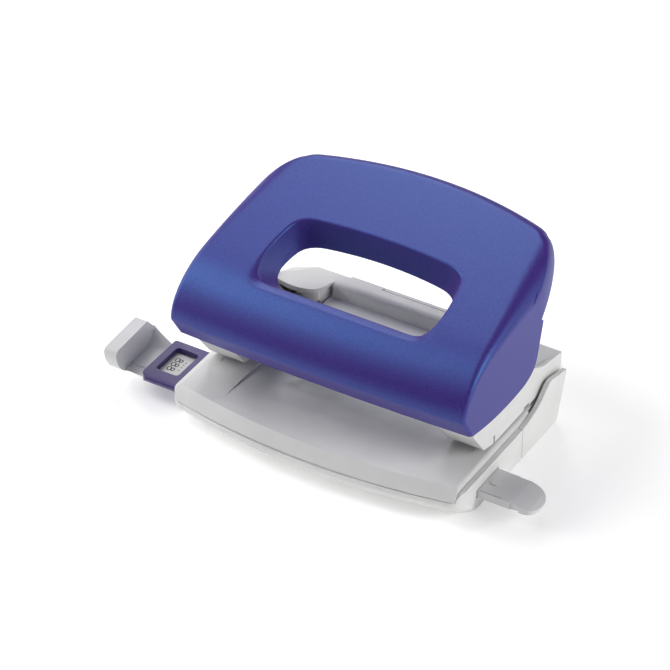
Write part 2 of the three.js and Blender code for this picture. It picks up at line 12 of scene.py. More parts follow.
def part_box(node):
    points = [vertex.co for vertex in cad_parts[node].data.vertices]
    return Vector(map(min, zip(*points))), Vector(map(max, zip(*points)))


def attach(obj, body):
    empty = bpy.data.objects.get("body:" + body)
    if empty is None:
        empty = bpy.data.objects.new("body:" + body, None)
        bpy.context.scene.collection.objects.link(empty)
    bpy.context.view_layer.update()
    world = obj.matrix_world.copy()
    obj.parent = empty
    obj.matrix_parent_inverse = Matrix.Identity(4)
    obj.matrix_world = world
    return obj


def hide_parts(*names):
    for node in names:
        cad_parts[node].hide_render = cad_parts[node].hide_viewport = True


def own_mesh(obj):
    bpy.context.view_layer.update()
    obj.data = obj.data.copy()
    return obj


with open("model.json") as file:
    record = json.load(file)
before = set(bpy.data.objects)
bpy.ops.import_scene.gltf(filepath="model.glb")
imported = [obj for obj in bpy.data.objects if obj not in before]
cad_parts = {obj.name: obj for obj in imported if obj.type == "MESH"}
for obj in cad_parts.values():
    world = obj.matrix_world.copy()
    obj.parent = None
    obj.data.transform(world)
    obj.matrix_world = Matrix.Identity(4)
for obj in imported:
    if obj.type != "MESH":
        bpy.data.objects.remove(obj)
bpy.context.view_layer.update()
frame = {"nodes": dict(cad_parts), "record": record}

MILLIMETRE = 0.001
SIDES = {"right": 1, "left": -1}
SIGNS = tuple(SIDES.values())
PIN_BOXES = {side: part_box(f"punch_pin_{side}") for side in SIDES}
ORIGIN = Vector((
    (PIN_BOXES["right"][0][0] + PIN_BOXES["left"][1][0]) / 2,
    (PIN_BOXES["right"][0][1] + PIN_BOXES["right"][1][1]) / 2,
    0.0,
))
TO_FRAME = Matrix.Translation(ORIGIN) @ Matrix.Scale(MILLIMETRE, 4)

HOLE_X = 40.0
PLATE_TOP = 12.8
BASE_HALF = 48.5
SEAM_Y = 7.35
SEAM_GAP = 0.15
WALL = 1.5


# ------------------------------------------------------------------ materials

def nodes_of(name):
    material = bpy.data.materials.new(name)
    material.use_nodes = True
    tree = material.node_tree
    return material, tree, tree.nodes["Principled BSDF"]


EVEN = (1, 1, 1)
BRUSHED = (1, 1, 14)
RELIEF = 0.00002
SPREAD = 0.05


def grey(value):
    return (value,) * 3


def coordinates(tree, scale, stretch=EVEN):
    source = tree.nodes.new("ShaderNodeTexCoord")
    mapping = tree.nodes.new("ShaderNodeMapping")
    mapping.inputs["Scale"].default_value = tuple(scale * s for s in stretch)
    tree.links.new(source.outputs["Object"], mapping.inputs["Vector"])
    return mapping.outputs["Vector"]


def noise(tree, scale, detail, stretch=EVEN):
    texture = tree.nodes.new("ShaderNodeTexNoise")
    texture.inputs["Scale"].default_value = 1.0
    texture.inputs["Detail"].default_value = detail
    tree.links.new(coordinates(tree, scale, stretch), texture.inputs["Vector"])
    return texture.outputs["Fac"]


def ramp(tree, value, stops):
    node = tree.nodes.new("ShaderNodeValToRGB")
    node.color_ramp.elements[0].position = stops[0][0]
    node.color_ramp.elements[0].color = (*stops[0][1], 1)
    node.color_ramp.elements[1].position = stops[-1][0]
    node.color_ramp.elements[1].color = (*stops[-1][1], 1)
    for position, color in stops[1:-1]:
        node.color_ramp.elements.new(position).color = (*color, 1)
    tree.links.new(value, node.inputs["Fac"])
    return node.outputs["Color"]


# Two values at 0.3 and 0.7 of a noise, with a smooth change between them.
def between(tree, value, low, high):
    return ramp(tree, value, [(0.3, low), (0.7, high)])


def bump(tree, shader, height, strength, distance=RELIEF):
    node = tree.nodes.new("ShaderNodeBump")
    node.inputs["Strength"].default_value = strength
    node.inputs["Distance"].default_value = distance
    tree.links.new(height, node.inputs["Height"])
    tree.links.new(node.outputs["Normal"], shader.inputs["Normal"])


def shade(color, amount):
    return tuple(c * amount for c in color)


def plastic(name, color, roughness, grain=2500, depth=RELIEF):
    material, tree, shader = nodes_of(name)
    broad = noise(tree, 60, 2)
    tree.links.new(
        between(tree, broad, shade(color, 1 - SPREAD), shade(color, 1 + SPREAD)),
        shader.inputs["Base Color"])
    wear = noise(tree, 300, 4)
    tree.links.new(
        between(tree, wear, grey(roughness - 0.06), grey(roughness + 0.08)),
        shader.inputs["Roughness"])
    bump(tree, shader, noise(tree, grain, 2), 0.35, depth)
    return material


# Small flakes of two blues under a strong, tinted reflection.
def metallic_paint(name, deep, light):
    material, tree, shader = nodes_of(name)
    flakes = tree.nodes.new("ShaderNodeTexVoronoi")
    flakes.inputs["Scale"].default_value = 1.0
    tree.links.new(coordinates(tree, 4200), flakes.inputs["Vector"])
    tree.links.new(
        ramp(tree, flakes.outputs["Color"], [(0.1, deep), (0.9, light)]),
        shader.inputs["Base Color"])
    shader.inputs["IOR"].default_value = 2.05
    shader.inputs["Specular Tint"].default_value = (0.1, 0.46, 1.0, 1)
    tree.links.new(
        between(tree, noise(tree, 2600, 3), grey(0.4), grey(0.5)), shader.inputs["Roughness"])
    bump(tree, shader, noise(tree, 2400, 3), 0.3)
    return material


def metal(name, color, roughness):
    material, tree, shader = nodes_of(name)
    shader.inputs["Metallic"].default_value = 1.0
    brushing = noise(tree, 900, 2, BRUSHED)
    tree.links.new(
        between(tree, brushing, shade(color, 0.85), shade(color, 1.1)),
        shader.inputs["Base Color"])
    tree.links.new(
        between(tree, brushing, grey(roughness), grey(roughness + 0.15)),
        shader.inputs["Roughness"])
    bump(tree, shader, brushing, 0.15)
    return material


MATERIALS = {
    "handle_paint": metallic_paint("handle_paint", (0.038, 0.008, 0.132), (0.076, 0.016, 0.245)),
    "base_paint": plastic("base_paint", (0.74, 0.74, 0.74), 0.42),
    "light_grey_plastic": plastic("light_grey_plastic", (0.76, 0.76, 0.75), 0.5),
    "guide_grey_plastic": plastic("guide_grey_plastic", (0.7, 0.7, 0.71), 0.42),
    "indigo_plastic": plastic("indigo_plastic", (0.04, 0.018, 0.15), 0.36),
    "format_print": plastic("format_print", (0.7, 0.7, 0.68), 0.6),
    "steel_plate": metal("steel_plate", (0.5, 0.5, 0.51), 0.35),
    "bright_steel": metal("bright_steel", (0.62, 0.62, 0.63), 0.22),
    "screw_steel": metal("screw_steel", (0.45, 0.45, 0.46), 0.3),
    "foot_rubber": plastic("foot_rubber", (0.025, 0.025, 0.027), 0.8, 1800, 0.00005),
}
INK = plastic("ink", (0.02, 0.02, 0.022), 0.6)

SLOT_OF = {entry["node"]: entry["material_slot"] for entry in frame["record"]["subparts"]}
for name, slot in SLOT_OF.items():
    frame["nodes"][name].data.materials.clear()
    frame["nodes"][name].data.materials.append(MATERIALS[slot])


# ------------------------------------------------------------------ building solids in millimetres

WELD = 0.002
FLAT_ANGLE = 0.4
EDGE_ANGLE = 28


def temporary(vertices, faces):
    mesh = bpy.data.meshes.new("solid")
    mesh.from_pydata(vertices, [], faces)
    work = bmesh.new()
    work.from_mesh(mesh)
    bmesh.ops.recalc_face_normals(work, faces=work.faces)
    work.to_mesh(mesh)
    work.free()
    made = bpy.data.objects.new("solid", mesh)
    bpy.context.scene.collection.objects.link(made)
    return made


# A closed solid through rings of equal length, with a flat cap at each end.
def loft(rings):
    count = len(rings[0])
    vertices = [p for ring in rings for p in ring]
    last = (len(rings) - 1) * count
    faces = [tuple(range(count))[::-1], tuple(range(last, last + count))]
    for r in range(len(rings) - 1):
        for i in range(count):
            j = (i + 1) % count
            faces.append((r * count + i, r * count + j, (r + 1) * count + j, (r + 1) * count + i))
    return temporary(vertices, faces)


def raise_up(outline, low, high):
    return loft([[(x, y, low) for x, y in outline], [(x, y, high) for x, y in outline]])


def run_along_x(profile, low, high):
    return loft([[(low, y, z) for y, z in profile], [(high, y, z) for y, z in profile]])


def run_along_y(profile, low, high):
    return loft([[(x, low, z) for x, z in profile], [(x, high, z) for x, z in profile]])


def block(x0, x1, y0, y1, z0, z1):
    return raise_up([(x0, y0), (x1, y0), (x1, y1), (x0, y1)], z0, z1)


def disc(x, y, radius, low, high, sides=48):
    turn = [2 * math.pi * i / sides for i in range(sides)]
    outline = [(x + radius * math.cos(a), y + radius * math.sin(a)) for a in turn]
    return raise_up(outline, low, high)


# The tools are used up, and the seams that they leave are cleaned away.
def boolean(target, operation, *tools):
    for tool in tools:
        modifier = target.modifiers.new("cut", "BOOLEAN")
        modifier.operation = operation
        modifier.solver = "EXACT"
        modifier.object = tool
    view = bpy.context.evaluated_depsgraph_get()
    mesh = bpy.data.meshes.new_from_object(target.evaluated_get(view))
    target.modifiers.clear()
    target.data = mesh
    for tool in tools:
        bpy.data.objects.remove(tool)
    work = bmesh.new()
    work.from_mesh(mesh)
    bmesh.ops.remove_doubles(work, verts=work.verts, dist=WELD)
    bmesh.ops.dissolve_limit(
        work, angle_limit=math.radians(FLAT_ANGLE), verts=work.verts, edges=work.edges)
    work.to_mesh(mesh)
    work.free()
    return target


def cut(target, *tools):
    return boolean(target, "DIFFERENCE", *tools)


def join(target, *tools):
    return boolean(target, "UNION", *tools)


def common(target, *tools):
    return boolean(target, "INTERSECT", *tools)


def mirrored(made):
    twin = made.copy()
    twin.data = made.data.copy()
    twin.data.transform(Matrix.Scale(-1, 4, (1, 0, 0)))
    twin.data.flip_normals()
    bpy.context.scene.collection.objects.link(twin)
    return twin


# Names a finished solid, rounds its edges by that many millimetres, and ties it to its body.
def dress(made, name, slot_name, body, replaced, edge=0.25, segments=3):
    made.name = name
    made.data.name = name
    made.data.transform(TO_FRAME)
    for face in made.data.polygons:
        face.use_smooth = True
    made.data.materials.clear()
    made.data.materials.append(MATERIALS[slot_name])
    if edge:
        soften = made.modifiers.new("edges", "BEVEL")
        soften.width = edge * MILLIMETRE
        soften.segments = segments
        soften.limit_method = "ANGLE"
        soften.angle_limit = math.radians(EDGE_ANGLE)
        soften.harden_normals = True
        soften.miter_outer = "MITER_ARC"
    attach(made, body)
    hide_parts(*replaced)
    return made


# ------------------------------------------------------------------ curves

def bezier(a, b, c, d, steps):
    points = []
    for i in range(steps + 1):
        t = i / steps
        shares = ((1 - t) ** 3, 3 * t * (1 - t) ** 2, 3 * t * t * (1 - t), t ** 3)
        points.append(tuple(sum(w * p[k] for w, p in zip(shares, (a, b, c, d))) for k in range(2)))
    return points


def quadratic(a, b, c, steps):
    points = []
    for i in range(steps + 1):
        t = i / steps
        shares = ((1 - t) ** 2, 2 * t * (1 - t), t * t)
        points.append(tuple(sum(w * p[k] for w, p in zip(shares, (a, b, c))) for k in range(2)))
    return points


def arc(x, y, radius, start, end, steps):
    angles = [math.radians(start + (end - start) * i / steps) for i in range(steps + 1)]
    return [(x + radius * math.cos(a), y + radius * math.sin(a)) for a in angles]


# ------------------------------------------------------------------ press handle

HALF = 48.55
SHEET = 1.2
SHEET_EDGE = 0.3
NOSE_Y, NOSE_Z = -28.0, 36.1
LIP_Y, LIP_Z = -23.6, 28.9
LIP_SLOPE = -0.17
MITRE = 0.281
MID_SHOULDER = 4.3
REAR_FILLET = 6.0
REAR_CORNER = 6.5
LIP_BOW, NOSE_BOW = 1.2, 1.8
PANEL_FRONT, PANEL_FRONT_Z = -10, 52.6
SHOULDER_STEPS, PANEL_STEPS = 12, 32
LIP_STEPS, NOSE_STEPS, TOP_STEPS, FILLET_STEPS = 6, 30, 42, 12
OPENING_DEPTH = 9.0
CURVE_STEPS = 60
PATCH_SIDE, PATCH_FRONT, PATCH_REAR = 36, -22.5, 17.5
PATCH_STEPS, EDGE_STEPS, WALL_STEPS = 8, 8, 5
BAND_DROP = (0, 0.03, 0.05, 0.065, 0.085, 0.11, 0.16, 0.26, 0.45)


# Height of the top along the middle: a shallow arch that rises to the rear.
def panel(y):
    return 55.1 + 0.235 * y - 0.0012 * y * y


# The rolled side edge is tight at the nose and broad at the back.
def shoulder(y):
    if y < 0:
        return MID_SHOULDER - 3.2 * min(1, y / NOSE_Y)
    return MID_SHOULDER + 4.5 * min(1, y / 30)


# How far back the top reaches: bowed, and turned in at the corners.
def handle_rear(x):
    corner = max(0.0, (abs(x) - 38.1) / 10.3)
    return 44.2 - 3.8 * (x / 33.5) ** 2 - 11.3 * corner ** 4.4


def front_bow(x, depth):
    return depth * (1 - (x / HALF) ** 2)


# One section of the outside, from the lip over the top to the rear edge.
# spread is 0 in the middle and 1 at the shoulder; turn goes round the shoulder to the side wall.
def handle_section(side, spread, turn):
    x = (HALF - MID_SHOULDER) * spread + MID_SHOULDER * math.sin(turn)
    rolled = 1 - math.cos(turn)
    fillet = REAR_FILLET + REAR_CORNER * rolled
    start = handle_rear(x) - fillet
    front = (PANEL_FRONT, PANEL_FRONT_Z)
    points = bezier((NOSE_Y, NOSE_Z), (NOSE_Y, 43.2), (-20, 49.9), front, NOSE_STEPS)
    for i in range(1, TOP_STEPS + 1):
        y = PANEL_FRONT + (start - PANEL_FRONT) * i / TOP_STEPS
        points.append((y, panel(y)))
    for i in range(1, FILLET_STEPS + 1):
        a = math.pi / 2 * i / FILLET_STEPS
        points.append((start + fillet * math.sin(a), panel(start) - fillet * (1 - math.cos(a))))

    def across(y):
        return side * ((HALF - shoulder(y)) * spread + shoulder(y) * math.sin(turn))

    tuck = shoulder(NOSE_Y) * rolled
    crease = Vector((NOSE_Y + tuck, NOSE_Z + MITRE * tuck))
    down = Vector((LIP_Y - NOSE_Y, LIP_Z - NOSE_Z)).normalized()
    drop = (LIP_Z + LIP_SLOPE * (crease.x - LIP_Y) - crease.y) / (down.y - LIP_SLOPE * down.x)
    foot = crease + down * drop - Vector((front_bow(x, LIP_BOW), 0))
    crease -= Vector((front_bow(x, NOSE_BOW), 0))
    lip = [foot.lerp(crease, i / LIP_STEPS) for i in range(LIP_STEPS + 1)]
    section = [(across(NOSE_Y), *point) for point in lip]
    for i, (y, z) in enumerate(points[1:], 1):
        before, after = points[i - 1], points[min(len(points) - 1, i + 1)]
        along = Vector((after[0] - before[0], after[1] - before[1])).normalized()
        inset = shoulder(y) * rolled
        bow = front_bow(x, NOSE_BOW) * min(1.0, max(0.0, (PANEL_FRONT - y) / (PANEL_FRONT - NOSE_Y)))
        section.append((across(y), y - bow + along.y * inset, z - along.x * inset))
    return section


# Height of the outside of the handle above a point.
def handle_height(x, y):
    section = handle_section(1, min(1.0, abs(x) / (HALF - MID_SHOULDER)), 0.0)[LIP_STEPS + 1:]
    for (_, y0, z0), (_, y1, z1) in zip(section, section[1:]):
        if y0 <= y <= y1:
            return z0 + (z1 - z0) * (y - y0) / (y1 - y0)
    return section[-1][2]


# Finger opening: the crease round it on the panel, and its lower edge, point for point.
def finger_opening():
    crease = quadratic((0, -18.1), (11, -18.1), (22, -18.1), CURVE_STEPS)
    crease += bezier((22, -18.1), (28.2, -18.1), (30.4, -16.2), (30.4, -10.5), CURVE_STEPS)[1:]
    crease += quadratic((30.4, -10.5), (30.5, -3), (28.9, 5.0), CURVE_STEPS)[1:]
    crease += bezier((28.9, 5.0), (28.2, 8.3), (26, 10.6), (21, 11.2), CURVE_STEPS)[1:]
    crease += quadratic((21, 11.2), (10.5, 12.35), (0, 12.35), CURVE_STEPS)[1:]
    lower = quadratic((0, -11), (7, -11), (14, -11), CURVE_STEPS)
    lower += bezier((14, -11), (22, -11), (26.9, -7), (26.9, -1.5), CURVE_STEPS)[1:]
    lower += quadratic((26.9, -1.5), (26.8, 1.5), (25.9, 4.65), CURVE_STEPS)[1:]
    lower += bezier((25.9, 4.65), (25.2, 7.4), (23, 9.3), (18.9, 10), CURVE_STEPS)[1:]
    lower += quadratic((18.9, 10), (9.5, 11.5), (0, 11.5), CURVE_STEPS)[1:]

    def closed(half):
        return half + [(-x, y) for x, y in half[-2:0:-1]]

    return closed(crease), closed(lower)


# Along the front the edge of the opening is a gently sloping band, elsewhere a small quarter round.
def edge_profile(y, step):
    front = min(1.0, max(0.0, -y / 17.5)) ** 2.4
    a = math.pi / 2 * step / EDGE_STEPS
    radius = 1.0 + 2.8 * front
    drop = BAND_DROP[step] * front + (1 - math.cos(a)) * (1 - front)
    return radius * math.sin(a), radius * drop


# A grid of sections with a hole in it, filled by rings that lead to the finger opening.
def build_handle():
    turned = [(1.0, math.pi / 2 * (1 - i / SHOULDER_STEPS)) for i in range(SHOULDER_STEPS + 1)]
    half = turned + [(1 - i / PANEL_STEPS, 0.0) for i in range(1, PANEL_STEPS)]
    stations = [(-1, *s) for s in half] + [(1, 0.0, 0.0)] + [(1, *s) for s in half[::-1]]
    sections = [handle_section(*station) for station in stations]
    rows = len(sections[0])
    vertices = [point for section in sections for point in section]

    def index(i, j):
        return i * rows + j

    # The block of cells that the finger opening takes out of the grid.
    middle = sections[len(sections) // 2]
    left = min(i for i, section in enumerate(sections) if section[rows // 2][0] > -PATCH_SIDE)
    right = len(stations) - 1 - left
    low = max(j for j in range(rows // 2) if middle[j][1] < PATCH_FRONT)
    high = min(j for j in range(rows) if middle[j][1] > PATCH_REAR)
    faces = []
    for i in range(len(stations) - 1):
        for j in range(rows - 1):
            if left <= i < right and low <= j < high:
                continue
            faces.append((index(i, j), index(i + 1, j), index(i + 1, j + 1), index(i, j + 1)))

    sides = [
        [index(i, low) for i in range(left, right)],
        [index(right, j) for j in range(low, high)],
        [index(i, high) for i in range(right, left, -1)],
        [index(left, j) for j in range(high, low, -1)],
    ]
    border = [v for side in sides for v in side]

    crease, lower = finger_opening()
    total = len(crease)
    corners = [
        max(range(total), key=lambda k: sx * crease[k][0] + 1.4 * sy * crease[k][1])
        for sx, sy in ((-1, -1), (1, -1), (1, 1), (-1, 1))
    ]
    spots = []
    for n, side in enumerate(sides):
        span = (corners[(n + 1) % 4] - corners[n]) % total
        run = [(corners[n] + k) % total for k in range(span + 1)]
        lengths = [0.0]
        for p, q in zip(run, run[1:]):
            lengths.append(lengths[-1] + math.dist(crease[p], crease[q]))
        for k in range(len(side)):
            want = lengths[-1] * k / len(side)
            spots.append(run[min(range(len(run)), key=lambda m: abs(lengths[m] - want))])

    outward = []
    for k in spots:
        a, b = crease[k - 4], crease[(k + 4) % total]
        outward.append(Vector((b[1] - a[1], a[0] - b[0])).normalized())
    heights = [handle_height(*crease[k]) for k in spots]

    # Rings from the grid to the crease, over the rolled edge, and down the wall of the opening.
    rings = []
    for step in range(1, PATCH_STEPS):
        ring = []
        for v, k in zip(border, spots):
            x = vertices[v][0] + (crease[k][0] - vertices[v][0]) * step / PATCH_STEPS
            y = vertices[v][1] + (crease[k][1] - vertices[v][1]) * step / PATCH_STEPS
            ring.append((x, y, handle_height(x, y)))
        rings.append(ring)
    for step in range(EDGE_STEPS + 1):
        ring = []
        for k, normal, z in zip(spots, outward, heights):
            inward, drop = edge_profile(crease[k][1], step)
            at = Vector(crease[k]) - normal * inward
            ring.append((at.x, at.y, z - drop))
        rings.append(ring)
    feet = [Vector((*lower[k], handle_height(0, lower[k][1]) - OPENING_DEPTH)) for k in spots]
    rolled = [Vector(point) for point in rings[-1]]
    for step in range(1, WALL_STEPS + 1):
        rings.append([tuple(top.lerp(foot, step / WALL_STEPS)) for top, foot in zip(rolled, feet)])

    count = len(border)
    before = border
    for ring in rings:
        here = [len(vertices) + k for k in range(count)]
        vertices.extend(ring)
        for k in range(count):
            j = (k + 1) % count
            faces.append((before[k], before[j], here[j], here[k]))
        before = here

    # Side walls: flat sheets from the shoulder down to the lower edge and the rear edge.
    for i, x in ((0, -HALF), (len(stations) - 1, HALF)):
        foot = sections[i][0][1:]
        edge = [(17.4, 43.6)] + quadratic((14.6, 33.1), (13.4, 27.8), (6, 26.9), 8)
        edge += quadratic((6, 26.9), (-8, 25.6), foot, 16)[1:-1]
        ring = [index(i, j) for j in range(rows)] + [len(vertices) + k for k in range(len(edge))]
        vertices.extend((x, y, z) for y, z in edge)
        faces.append(tuple(ring))

    made = temporary(vertices, faces)
    work = bmesh.new()
    work.from_mesh(made.data)
    if max(work.faces, key=lambda f: f.calc_center_median().z).normal.z < 0:
        bmesh.ops.reverse_faces(work, faces=work.faces)
    work.to_mesh(made.data)
    work.free()
    dress(made, "handle_shell", "handle_paint", "handle", ["press_handle"], edge=0)
    skin = made.modifiers.new("sheet", "SOLIDIFY")
    skin.thickness = SHEET * MILLIMETRE
    skin.offset = -1
    rim = made.modifiers.new("rim", "BEVEL")
    rim.width = SHEET_EDGE * MILLIMETRE
    rim.segments = 3
    rim.limit_method = "ANGLE"
    rim.angle_limit = math.radians(50)
    weights = made.modifiers.new("normals", "WEIGHTED_NORMAL")
    weights.keep_sharp = True


build_handle()


# ------------------------------------------------------------------ base plate

PLATE_FRONT = -32.0
BEVEL_FRONT = -34.6
BOW = 5.0
PLATE_HALF = 45.5
PLATE_REAR = 28.9
BEVEL_LOW = 8.7
RAIL = 1.35
RAIL_STEPS = 6
UNDERSIDE = 10
BRACKET_SCREWS = [(s * 33, y) for s in SIGNS for y in (17.5, 24.5)]


# A rectangle whose front edge bows forward in the middle.
def bowed_ring(half, middle, rear, z, steps=72):
    front = [(-half + 2 * half * i / steps) for i in range(steps + 1)]
    ring = [(x, middle + BOW * (x / half) ** 2, z) for x in front]
    return ring + [(half, rear, z), (-half, rear, z)]


# The sides roll over into a rounded rail, the front slopes down in a flat bevel.
def plate_rings():
    rings = []
    for i in range(RAIL_STEPS + 1):
        a = math.pi / 2 * i / RAIL_STEPS
        drop = RAIL * (1 - math.cos(a))
        front = PLATE_FRONT + (BEVEL_FRONT - PLATE_FRONT) * drop / (PLATE_TOP - BEVEL_LOW)
        rings.append(bowed_ring(PLATE_HALF + RAIL * math.sin(a), front, PLATE_REAR, PLATE_TOP - drop))
    rings.append(bowed_ring(PLATE_HALF + RAIL, BEVEL_FRONT, PLATE_REAR, BEVEL_LOW))
    return rings[::-1]


plate_hollow = loft([
    bowed_ring(44.5, BEVEL_FRONT + WALL, PLATE_REAR - WALL, BEVEL_LOW - 1),
    bowed_ring(44, PLATE_FRONT + WALL, PLATE_REAR - WALL, UNDERSIDE),
])
paper_trough = run_along_x([(-26, PLATE_TOP), (12, 11.4), (31, 11.4), (31, 14), (-26, 14)], -32, 32)
side_notches = [block(*sorted((s * 46.2, s * 50)), 14.2, 30, 0, 20) for s in SIGNS]
die_holes = [disc(s * HOLE_X, 0, 4.9, 0, 20) for s in SIGNS]
screw_holes = [disc(x, y, 1.4, 0, 20, 24) for x, y in BRACKET_SCREWS]
paper_marks = [block(s * 42 - 0.2, s * 42 + 0.2, -11.4, -8.4, PLATE_TOP - 0.25, 20) for s in SIGNS]
plate = cut(
    loft(plate_rings()), plate_hollow, paper_trough,
    *side_notches, *die_holes, *screw_holes, *paper_marks)
dress(plate, "base_plate_shell", "base_paint", "base", ["base_plate"], edge=0.3)


# ------------------------------------------------------------------ chip tray and rear housing

TRAY_FRONT = -35.2
TRAY_CORNER = 5
TRAY_SIDE = SEAM_Y - SEAM_GAP
TUCK, TUCK_TOP = 7.6, 7.4
LEDGE = 8.4
WALL_TOP = 11.0
INNER = BASE_HALF - WALL
TRAY_FLOOR = 1.3
FOOT_RADIUS, FOOT_SEAT = 4.8, 1.3
CORNER_STEPS, BOW_STEPS = 12, 60


def tray_ring(half, middle, rear, corner, z):
    straight = half - corner
    corner_y = middle + BOW
    ring = []
    for i in range(CORNER_STEPS, 0, -1):
        a = math.pi / 2 * i / CORNER_STEPS
        ring.append((-straight - corner * math.sin(a), corner_y + corner * (1 - math.cos(a)), z))
    for i in range(BOW_STEPS + 1):
        x = -straight + 2 * straight * i / BOW_STEPS
        ring.append((x, middle + BOW * (x / straight) ** 2, z))
    for i in range(1, CORNER_STEPS + 1):
        a = math.pi / 2 * i / CORNER_STEPS
        ring.append((straight + corner * math.sin(a), corner_y + corner * (1 - math.cos(a)), z))
    return ring + [(half, rear, z), (-half, rear, z)]


# The front of the tray is rounded under: it tucks in towards the desk.
def tray_body(shrink, levels):
    rings = []
    for z in levels:
        tuck = TUCK * max(0.0, 1 - z / TUCK_TOP) ** 1.6
        front = TRAY_FRONT + shrink + tuck
        rings.append(tray_ring(BASE_HALF - shrink, front, TRAY_SIDE - shrink, TRAY_CORNER, z))
    return loft(rings)


SLOT = (4.3, 7.3)
tray = tray_body(0, [0.4, 0.9, 1.5, 2.2, 3, 3.9, 4.8, 5.8, 6.8, TUCK_TOP, WALL_TOP])
hollow = common(
    tray_body(WALL, [1.8, 3, 4.5, 6, TUCK_TOP, 20]),
    block(-INNER, INNER, -50, SEAM_Y - 1.8, 0, 30))
plate_seat = loft([bowed_ring(INNER, BEVEL_FRONT - 0.3, 20, z) for z in (LEDGE, 20)])
low_front = [(-40, LEDGE), (-29.6, LEDGE), (-27.2, WALL_TOP + 0.1), (-27.2, 20), (-40, 20)]
rear_opening = block(-INNER, INNER, 0, 20, LEDGE, 20)
guide_slots = [block(-60, -40, -23.5, -6.1, *SLOT), block(40, 60, -19.6, -6.8, *SLOT)]
hinge_notches = [block(*sorted((s * 43.6, s * INNER)), 4.5, 8, 0, 9) for s in SIGNS]
swing_chamfer = run_along_x([(7.3, 1.3), (6, 0.4), (6, 0), (8, 0), (8, 1.3)], -60, 60)
front_recesses = [disc(s * 34, -14, FOOT_RADIUS, -1, FOOT_SEAT) for s in SIGNS]
cross_wall = block(-INNER - 0.5, INNER + 0.5, -5.6, -4.4, TRAY_FLOOR, 8)
ribs = [block(x - 0.7, x + 0.7, -24, -4.5, TRAY_FLOOR, 4.3) for x in (-30, 0, 30)]
tray = cut(
    tray, hollow, rear_opening, plate_seat, run_along_x(low_front, -60, 60),
    *guide_slots, *hinge_notches, swing_chamfer, *front_recesses)
tray = join(tray, cross_wall, *ribs)
dress(tray, "chip_tray_shell", "light_grey_plastic", "tray", ["chip_tray"], edge=0.3)

HOUSING_FRONT = SEAM_Y + SEAM_GAP
HINGE_Y, HINGE_Z = 6.2, 1.9
housing_side = (
    [(HOUSING_FRONT, 0.4), (HOUSING_FRONT, WALL_TOP)]
    + quadratic((HOUSING_FRONT, WALL_TOP), (13.5, 11.7), (17.5, 13.6), 10)[1:]
    + bezier((17.5, 13.6), (20, 14.9), (21.4, 17.4), (24.3, 17.9), 14)[1:] + [(33.8, 15.9), (29.1, 1.3)]
    + quadratic((29.1, 1.3), (28.6, 0.4), (27.4, 0.4), 6)[1:]
)
BOSS_X, BOSS_Y = 22, 17
housing_hollow = run_along_x(
    [(0, 1.8), (27.2, 1.8), (31.9, 17.5), (31.9, 40), (0, 40)], -INNER, INNER)
cover_opening = block(-INNER, INNER, 20, 50, 13.4, 40)
swing_gap = block(-44, 44, 7, 8.2, 0, 1.8)
rear_recesses = [disc(s * 36, 20, FOOT_RADIUS, -1, FOOT_SEAT) for s in SIGNS]
housing = cut(
    run_along_x(housing_side, -BASE_HALF, BASE_HALF),
    housing_hollow, cover_opening, swing_gap, *rear_recesses)
knuckle = [(9, 0.6), (9, 3.2), (HINGE_Y, 3.2)] + arc(HINGE_Y, HINGE_Z, 1.3, 90, 270, 12)[1:]
hinge_bore = arc(HINGE_Y, HINGE_Z, 0.85, 0, 345, 23)
bosses = [disc(s * BOSS_X, BOSS_Y, 3, 1.3, 9.7) for s in SIGNS]
knuckles = [run_along_x(knuckle, *sorted((s * 44, s * (INNER + 0.2)))) for s in SIGNS]
housing = join(housing, *bosses, *knuckles)
tray_sides = [block(*sorted((s * (INNER - 0.3), s * 50)), 0, HOUSING_FRONT, 0, 5) for s in SIGNS]
bores = [run_along_x(hinge_bore, *sorted((s * 43, s * 50))) for s in SIGNS]
boss_holes = [disc(s * BOSS_X, BOSS_Y, 1.5, 0, 12, 32) for s in SIGNS]
head_recesses = [disc(s * BOSS_X, BOSS_Y, 2.5, 0, 1.6, 32) for s in SIGNS]
housing = cut(housing, *tray_sides, *bores, *boss_holes, *head_recesses)
dress(housing, "rear_housing_shell", "light_grey_plastic", "base", ["rear_housing"], edge=0.25)


# ------------------------------------------------------------------ side covers and axle cover

COVER_IN, COVER_OUT = 33.9, 46.1
COVER_WALL = 1.2
COVER_REAR = 35.5
BRIDGE_HALF = 29.2
THROAT_ROOF = 13.9
LOBE_LOW = 20.2
LOBE_EDGE = 1.5
LEVER_SIDE = 37.5
WEDGE_TOP, WEDGE_SLOPE = 21.0, 0.53
WEDGE_SKIN = 0.6

cover_profile = (
    [(-11.4, 15.2), (-17.6, 23.6)]
    + quadratic((-17.6, 23.6), (-18.9, 26.4), (-15.5, 26.4), 8)[1:]
    + [(13, 26.4)] + quadratic((13, 26.4), (16.4, 26.3), (18.6, 25), 8)[1:]
    + quadratic((18.6, 25), (22.4, 22.4), (27.4, 21.8), 10)[1:]
    + [(34.3, 20.7)] + quadratic((34.3, 20.7), (COVER_REAR, 20.5), (COVER_REAR, 19.6), 6)[1:]
    + [(COVER_REAR, 14.4), (15.2, THROAT_ROOF), (-5.6, THROAT_ROOF)]
)
lobe_front = (
    bezier((45, 22.8), (41, 20.9), (34.5, 20.2), (31, 23.1), 24)
    + quadratic((31, 23.1), (29.3, 24.8), (28.95, 28.6), 10)[1:]
)


